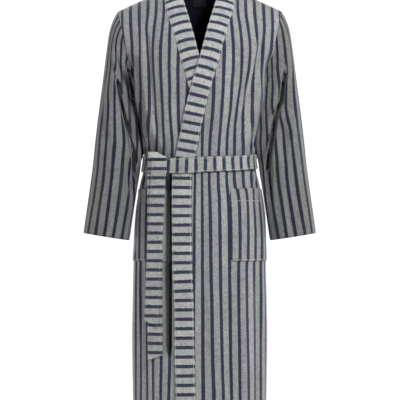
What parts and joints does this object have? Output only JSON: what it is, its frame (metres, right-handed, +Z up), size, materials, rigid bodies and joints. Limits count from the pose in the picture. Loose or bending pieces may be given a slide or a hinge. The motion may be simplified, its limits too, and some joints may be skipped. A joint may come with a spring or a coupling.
{
  "type": "kimono bathrobe",
  "caption": "Long kimono bathrobe in striped terry, left front over right and belted at the waist, shown worn and hollow with no wearer.",
  "frame": {"origin": "on the centre plane, level with the neck ends of the shoulder seams and over the middle of the neck opening, where the wearer's shoulders hold the robe up", "axes": "+Z up; the front of the robe faces -Y; +X is the wearer's left"},
  "size_m": [0.648, 0.2655, 1.262],
  "materials": {
    "body_terry": "matte heather grey cotton terry with navy stripes along the grain",
    "band_terry": "the same terry folded double, with its stripes across the strip",
    "label_weave": "plain near-black woven label"
  },
  "bodies": {
    "root": {"back": "body_terry", "front_left": "body_terry", "front_right": "body_terry", "sleeve_left": "body_terry", "sleeve_right": "body_terry", "band_left": "band_terry", "band_right": "band_terry", "pocket_left": "body_terry", "pocket_right": "body_terry", "belt_waist": "band_terry", "belt_knot": "band_terry", "belt_tail_front": "band_terry", "belt_tail_rear": "band_terry", "neck_label": "label_weave"}
  },
  "joints": []
}
